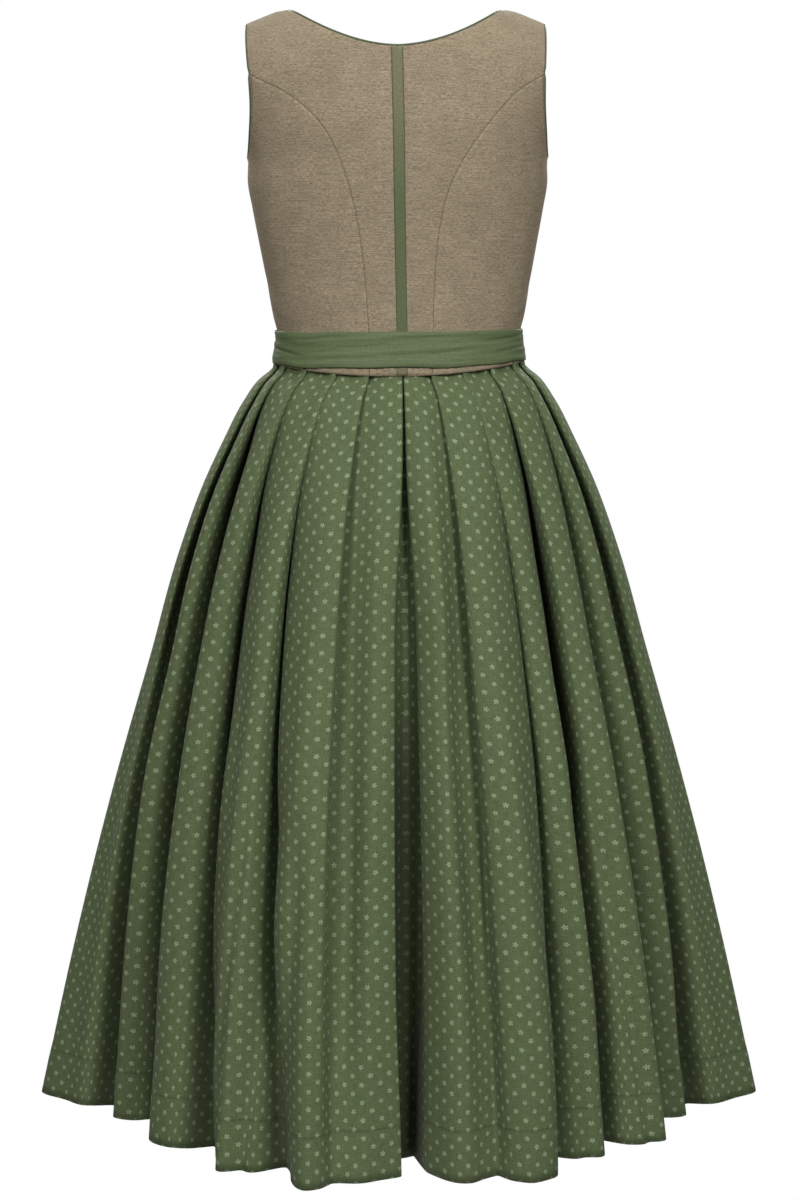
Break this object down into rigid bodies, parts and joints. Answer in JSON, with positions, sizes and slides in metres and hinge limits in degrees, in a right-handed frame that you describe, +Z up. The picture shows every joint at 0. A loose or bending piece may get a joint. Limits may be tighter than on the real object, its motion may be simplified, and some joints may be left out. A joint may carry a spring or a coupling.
{
  "type": "dirndl dress",
  "caption": "Long sleeveless folk dress filled out as worn: fitted bodice with curved seams and piped edges, soft sash belt and a full skirt of knife pleats.",
  "frame": {"origin": "midway between the two shoulder seams, at the height of their highest points, where the wearer's shoulders hold the dress", "axes": "+Z up, the wearer faces -Y so +Y is the dress's back, and +X is the wearer's left"},
  "size_m": [0.806, 0.6826, 1.2007],
  "materials": {
    "linen": "taupe slub linen, matt",
    "grosgrain_ribbon": "brownish green ribbed ribbon, soft sheen",
    "satin_piping": "green bias-cut satin over cord",
    "belt_taffeta": "crumpled green taffeta, low sheen",
    "printed_cotton": "green plain-weave cotton with small pale blossoms, slight lustre",
    "button": "brown horn, satin"
  },
  "bodies": {
    "root": {"bodice_back_centre_left": "linen", "bodice_back_centre_right": "linen", "bodice_back_side_left": "linen", "bodice_back_side_right": "linen", "bodice_front_side_left": "linen", "bodice_front_side_right": "linen", "bodice_front_centre_left": "linen", "bodice_front_centre_right": "linen", "back_ribbon": "grosgrain_ribbon", "front_placket": "linen", "neck_piping": "satin_piping", "armhole_piping_left": "satin_piping", "armhole_piping_right": "satin_piping", "belt": "belt_taffeta", "skirt_back": "printed_cotton", "skirt_front_left": "printed_cotton", "skirt_front_right": "printed_cotton", "front_button_1": "button", "front_button_2": "button", "front_button_3": "button", "front_button_4": "button", "front_button_5": "button", "front_button_6": "button", "front_button_7": "button"}
  },
  "joints": []
}
